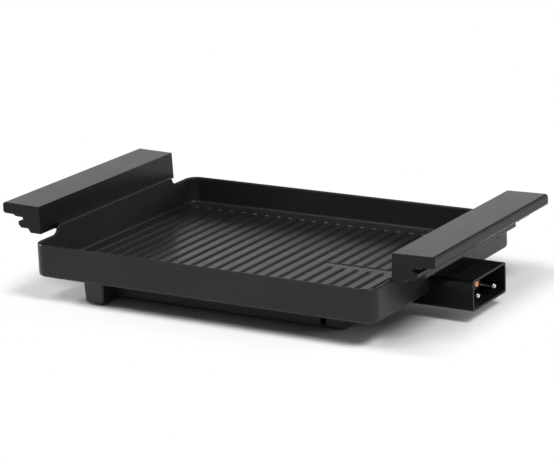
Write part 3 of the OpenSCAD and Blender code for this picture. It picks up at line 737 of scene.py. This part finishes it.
def channel_height(away):
    """Height across the narrow channel: round bottom, straight sides, soft edge."""
    half = CHANNEL_WIDTH / 2
    if away <= half:
        return half - GROOVE_DEPTH - math.sqrt(half ** 2 - away ** 2)
    if away < half + CHANNEL_EDGE:
        return -CHANNEL_EDGE + math.sqrt(CHANNEL_EDGE ** 2 - (half + CHANNEL_EDGE - away) ** 2)
    return 0.0


def beyond(value, low, high):
    """How far a value lies outside a stretch."""
    return max(low - value, 0.0, value - high)


def floor_height(x, y):
    """Height of the cooking floor at one spot, 0 on the rib tops."""
    row = max(-GROOVE_COUNT, min(GROOVE_COUNT, round(x / GROOVE_PITCH)))
    side = x - row * GROOVE_PITCH
    far, near = GROOVE_END - groove_ball, -GROOVE_END + groove_ball
    if row <= CHANNEL_START:
        return groove_height(math.hypot(side, beyond(y, near, far)))
    front = math.hypot(side, beyond(y, near, -CHANNEL_LAND - groove_ball))
    back = math.hypot(side, beyond(y, 0.0, far))
    low = min(groove_height(front), groove_height(back))
    if x <= GROOVE_COUNT * GROOVE_PITCH:
        low = min(low, channel_height(abs(y)))
    return low


def channel_side(x, y):
    """The stretch of the channel inside its first groove is open on the right only."""
    row = CHANNEL_START * GROOVE_PITCH
    if row < x < row + GROOVE_PITCH / 2 and abs(y) < CHANNEL_WIDTH / 2 + CHANNEL_EDGE:
        return min(floor_height(x, y), channel_height(abs(y)))
    return floor_height(x, y)


print("depth in the middle groove:", round(-floor_height(0, 0), 2), "mm")

# %% [markdown]
# The grid's lines
#
# An even grid that is fine enough for the grooves would need far more faces. The
# flat rib tops need only their edges, so lines are gathered from each groove and
# from the channel, and lines that nearly coincide are left out.

# %% Lines of the grid
def packed(values, least=0.03):
    """Sorted values with near-doubles left out."""
    kept = []
    for v in sorted(values):
        if not kept or v - kept[-1] > least:
            kept.append(v)
    return kept


def grid_lines():
    """The x and y of the floor grid's lines."""
    xs = [(i + 0.5) * GROOVE_PITCH for i in range(-GROOVE_COUNT - 1, GROOVE_COUNT + 1)]
    for i in range(-GROOVE_COUNT, GROOVE_COUNT + 1):
        for s in groove_steps:
            xs += [i * GROOVE_PITCH - s, i * GROOVE_PITCH + s]
    ys = [-FLOOR_REACH_Y, FLOOR_REACH_Y, -FLOOR_MIDDLE, FLOOR_MIDDLE]
    for s in groove_steps:
        ys += [GROOVE_END - groove_ball + s, -GROOVE_END + groove_ball - s]
        ys += [-CHANNEL_LAND - groove_ball + s, -s]
    for s in channel_steps:
        ys += [-s, s]
    return packed(xs), packed(ys)


lines_x, lines_y = grid_lines()
print("floor grid:", len(lines_x), "by", len(lines_y))

# %% [markdown]
# Closing the casting
#
# The grid is a rectangle, and the wall's inner edge has round corners. The strip
# between them is flat, so it is simply filled with triangles from one loop to the
# other. The underside is flat too, and one large face closes it.

# %% Floor, bottom and the strip between them
def add_floor(bm, wall_loop):
    """Adds the grooved grid and the flat strip out to the wall."""
    top = PAN_BOTTOM + FLOOR_THICK
    rows = [[bm.verts.new(Vector((x, y, top + channel_side(x, y))) * MM) for x in lines_x]
            for y in lines_y]
    for j in range(len(lines_y) - 1):
        for i in range(len(lines_x) - 1):
            bm.faces.new((rows[j][i], rows[j][i + 1], rows[j + 1][i + 1], rows[j + 1][i]))
    edge = rows[0] + [r[-1] for r in rows[1:]] + rows[-1][-2::-1] + [r[0] for r in rows[-2:0:-1]]
    edges = [bm.edges.get((edge[i], edge[(i + 1) % len(edge)])) for i in range(len(edge))]
    loop = wall_loop
    edges += [bm.edges.get((loop[i], loop[(i + 1) % len(loop)])) for i in range(len(loop))]
    bmesh.ops.triangle_fill(bm, edges=edges, use_beauty=True, normal=(0, 0, 1))


def build_pan():
    """The whole casting except its flanges and bosses."""
    bm = bmesh.new()
    floor_loop, bottom_loop = add_wall(bm)
    add_floor(bm, floor_loop)
    bm.faces.new(bottom_loop)
    bmesh.ops.recalc_face_normals(bm, faces=bm.faces)
    mesh = bpy.data.meshes.new("cast_pan")
    bm.to_mesh(mesh)
    bm.free()
    mesh.polygons.foreach_set("use_smooth", [True] * len(mesh.polygons))
    piece = bpy.data.objects.new("cast_pan", mesh)
    bpy.context.scene.collection.objects.link(piece)
    normals = piece.modifiers.new("even", "WEIGHTED_NORMAL")
    normals.weight = 80
    return piece


def settle(piece, slot, *nodes):
    """Gives a new piece its finish and its body, and hides the model pieces it stands for."""
    piece.data.materials.append(finishes[slot])
    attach(piece, "root")
    if nodes:
        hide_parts(*nodes)
    return piece


cast_pan = settle(build_pan(), "nonstick_coating", "grill_pan")
print("pan faces:", len(cast_pan.data.polygons))

# %% [markdown]
# Bars with one section
#
# The flanges and the handles are both a section drawn once and run along the
# pan's width. A curve with a bevel could do that, but a handle's section changes near
# its ends, so the mesh is made ring by ring. The section is a list of corners, and a
# Bevel modifier rounds every edge afterwards, the long ones and the ends alike.

# %% Run a section along y
def run_section(name, sections, side):
    """A closed bar from (y, section) pairs, mirrored to the left when side is -1."""
    bm = bmesh.new()
    known = {}

    def corner(x, y, z):
        """The vertex at a spot, made once and shared after that."""
        key = (round(x, 4), round(y, 4), round(z, 4))
        if key not in known:
            known[key] = bm.verts.new(Vector((side * x, y, z)) * MM)
        return known[key]

    rings = [[corner(x, y, z) for x, z in section] for y, section in sections]
    for here, there in zip(rings, rings[1:]):
        for i in range(len(here)):
            k = (i + 1) % len(here)
            face = []
            for v in (here[i], here[k], there[k], there[i]):
                if v not in face:
                    face.append(v)
            if len(face) > 2:
                bm.faces.new(face)
    for ring in (rings[0], rings[-1]):
        cap = []
        for v in ring:
            if v not in cap:
                cap.append(v)
        bm.faces.new(cap)
    bmesh.ops.recalc_face_normals(bm, faces=bm.faces)
    mesh = bpy.data.meshes.new(name)
    bm.to_mesh(mesh)
    bm.free()
    piece = bpy.data.objects.new(name, mesh)
    bpy.context.scene.collection.objects.link(piece)
    return piece


print("bars are made by run_section")

# %% [markdown]
# The flanges
#
# A shelf is cast on each end wall just under the raised rim, and the handle sits
# on it. It meets the wall with a small fillet below. It is a bar with one section
# from end to end that starts a little inside the wall, so no gap shows between them.

# %% Flanges
FLANGE_UNDER_RIM = 0.8
FLANGE_TOP = PAN_BOTTOM + WALL_HEIGHT + RAISE - FLANGE_UNDER_RIM
FLANGE_THICK, FLANGE_REACH, FLANGE_HALF = 6.0, 27.0, 89.5
FLANGE_EDGE, FLANGE_FILLET, FLANGE_SINK, FLANGE_SOFT = 2.5, 1.5, 1.4, 0.7
EDGE_STEPS, FILLET_STEPS = 5, 4


def flange_section():
    """Corners of the flange, as x and z."""
    wall, out = PAN_LENGTH / 2, PAN_LENGTH / 2 + FLANGE_REACH
    low = FLANGE_TOP - FLANGE_THICK
    points = [(wall - FLANGE_SINK, FLANGE_TOP), (out - FLANGE_EDGE, FLANGE_TOP)]
    for i in range(1, EDGE_STEPS + 1):
        a = math.radians(90 * i / EDGE_STEPS)
        points.append((out - FLANGE_EDGE + FLANGE_EDGE * math.sin(a),
                       FLANGE_TOP - FLANGE_EDGE + FLANGE_EDGE * math.cos(a)))
    points += [(out, low), (wall + FLANGE_FILLET, low)]
    for i in range(1, FILLET_STEPS + 1):
        a = math.radians(90 * i / FILLET_STEPS)
        points.append((wall + FLANGE_FILLET - FLANGE_FILLET * math.sin(a),
                       low - FLANGE_FILLET + FLANGE_FILLET * math.cos(a)))
    points.append((wall - FLANGE_SINK, low - FLANGE_FILLET))
    return points


for side, name in ((-1, "left_flange"), (1, "right_flange")):
    section = flange_section()
    flange = run_section(name, [(-FLANGE_HALF, section), (FLANGE_HALF, section)], side)
    round_edges(flange, FLANGE_SOFT, segments=3)
    settle(flange, "nonstick_coating", "grill_pan")
print("flanges:", 2 * FLANGE_HALF, "mm long")

# %% [markdown]
# Bosses under the pan
#
# Short round posts are cast on the underside, where the foot bars, the heater's
# saddles and the inlet box are screwed on. They are plain cylinders that start a
# little inside the pan, so no gap shows where they meet it.

# %% Bosses
# Each row is x, y, width and lowest height.
BOSSES = [
    (120, 60, 11, 13.5), (-120, 60, 11, 13.5), (120, -60, 11, 13.5), (-120, -60, 11, 13.5),
    (46, 79.3, 8, 20.15), (-46, 79.3, 8, 20.15), (46, -79.3, 8, 20.15), (-46, -79.3, 8, 20.15),
    (145, 26, 8, 13.7), (145, -26, 8, 13.7),
]
BOSS_SINK, BOSS_SIDES, BOSS_SOFT = 1.0, 40, 0.5


def build_bosses():
    """All the bosses, one cylinder each, as one piece."""
    bm = bmesh.new()
    for x, y, wide, low in BOSSES:
        tall = PAN_BOTTOM + BOSS_SINK - low
        bmesh.ops.create_cone(
            bm, cap_ends=True, segments=BOSS_SIDES, radius1=wide / 2 * MM, radius2=wide / 2 * MM,
            depth=tall * MM, matrix=Matrix.Translation(Vector((x, y, low + tall / 2)) * MM))
    mesh = bpy.data.meshes.new("pan_bosses")
    bm.to_mesh(mesh)
    bm.free()
    piece = bpy.data.objects.new("pan_bosses", mesh)
    bpy.context.scene.collection.objects.link(piece)
    return piece


settle(round_edges(build_bosses(), BOSS_SOFT), "nonstick_coating", "grill_pan")
print("bosses:", len(BOSSES))

# %% [markdown]
# The curled end of the earth spring
#
# The spring's free end is bent round towards the plug, and that bend is what glows
# copper in the mouth of the box. A bevelled curve would give a wire with a round
# section, but this is flat sheet, so it is a strip along a short curve, given its
# thickness by a Solidify modifier.

# %% Curled spring end
CURL_PATH = [
    (213.0, -21.4), (216.0, -21.3), (218.4, -21.2), (220.0, -20.8), (221.0, -19.9),
    (221.4, -18.8), (221.2, -17.6), (220.4, -16.8), (219.2, -16.5),
]
CURL_LOW, CURL_HIGH, CURL_THICK = 31.2, 36.4, 0.5
CURL_ROWS = 4


def build_curl():
    """The strip of the spring's curled end."""
    bm = bmesh.new()
    rise = CURL_HIGH - CURL_LOW
    rows = [[bm.verts.new(Vector((x, y, CURL_LOW + rise * k / CURL_ROWS)) * MM)
             for k in range(CURL_ROWS + 1)] for x, y in CURL_PATH]
    for here, there in zip(rows, rows[1:]):
        for k in range(CURL_ROWS):
            bm.faces.new((here[k], there[k], there[k + 1], here[k + 1]))
    mesh = bpy.data.meshes.new("earth_spring_curl")
    bm.to_mesh(mesh)
    bm.free()
    mesh.polygons.foreach_set("use_smooth", [True] * len(mesh.polygons))
    piece = bpy.data.objects.new("earth_spring_curl", mesh)
    bpy.context.scene.collection.objects.link(piece)
    thick = piece.modifiers.new("thick", "SOLIDIFY")
    thick.thickness = CURL_THICK * MM
    return piece


settle(build_curl(), "copper_spring")
print("curl:", round(CURL_HIGH - CURL_LOW, 1), "mm tall,", CURL_THICK, "mm thick")

# %% [markdown]
# The handles
#
# Each handle is a moulded bar 42 mm wide. Its top is almost flat, its outer side
# is a thick lip for the fingers, under the lip runs a grip groove, and the inner
# side sits on the flange. The two ends also reach a little down beside the
# flange, so the bar can't slide along it. The section with its toe and the one
# without it have the same corners, so four-sided faces join one to the other.

# %% Handle section
HANDLE_GAP, HANDLE_SOFT = 6.2, 0.9
HANDLE_IN = PAN_LENGTH / 2 + HANDLE_GAP
HANDLE_WIDTH, HANDLE_RISE, HANDLE_DROP = 42.4, 21.7, 0.8
HANDLE_HALF, TOE_FROM = 113.0, 90.0
LIP_THICK, STEP, TOP_ROUND, INNER_DRAFT = 10.5, 2.0, 3.0, 1.0
TOE_WIDTH, TOE_SLOPE, TOE_DEEP, NOSE_DROP = 11.8, 2.8, 5.3, 1.3
LIP_SOFT, LIP_FLAT, LIP_FALL, STEP_RUN = 1.6, 12, 0.4, 14
GRIP_BACK, GRIP_DRAFT, HOOK_IN, HOOK_FALL = 22.0, 0.2, 0.6, 2.1
NOSE_OUT, NOSE_UNDER, NOSE_LOW, SEAT_EDGE = 5, 4.5, 1.4, 2
HANDLE_STEPS = 6


def handle_section(toe):
    """Corners of the handle, as x and z, with or without its toe."""
    lip = HANDLE_RISE - LIP_THICK
    step = lip - STEP
    back = HANDLE_WIDTH - GRIP_BACK
    seat, down = (-NOSE_DROP, -TOE_DEEP) if toe else (0.0, 0.0)
    corners = [(INNER_DRAFT, HANDLE_RISE - HANDLE_DROP)]
    for i in range(HANDLE_STEPS + 1):
        a = math.radians(90 * i / HANDLE_STEPS)
        corners.append((HANDLE_WIDTH - TOP_ROUND + TOP_ROUND * math.sin(a),
                        HANDLE_RISE - TOP_ROUND + TOP_ROUND * math.cos(a)))
    corners += [
        (HANDLE_WIDTH, lip + LIP_SOFT), (HANDLE_WIDTH - LIP_SOFT, lip),
        (HANDLE_WIDTH - LIP_FLAT, lip - LIP_FALL), (HANDLE_WIDTH - STEP_RUN, step),
        (back, step - GRIP_DRAFT), (back - HOOK_IN, step - HOOK_FALL),
        (back + NOSE_OUT, step - NOSE_UNDER), (back + NOSE_OUT, NOSE_LOW),
        (back + SEAT_EDGE, seat), (TOE_WIDTH + TOE_SLOPE, seat),
        (TOE_WIDTH, down), (0, down),
    ]
    return [(HANDLE_IN + x, FLANGE_TOP + z) for x, z in corners]


for side, name in ((-1, "left_handle"), (1, "right_handle")):
    with_toe, without = handle_section(True), handle_section(False)
    handle = run_section(name + "_bar", [
        (-HANDLE_HALF, with_toe), (-TOE_FROM, with_toe), (-TOE_FROM, without),
        (TOE_FROM, without), (TOE_FROM, with_toe), (HANDLE_HALF, with_toe),
    ], side)
    round_edges(handle, HANDLE_SOFT, segments=3)
    settle(handle, "handle_phenolic", name)
print("handles:", HANDLE_WIDTH, "by", 2 * HANDLE_HALF, "mm")
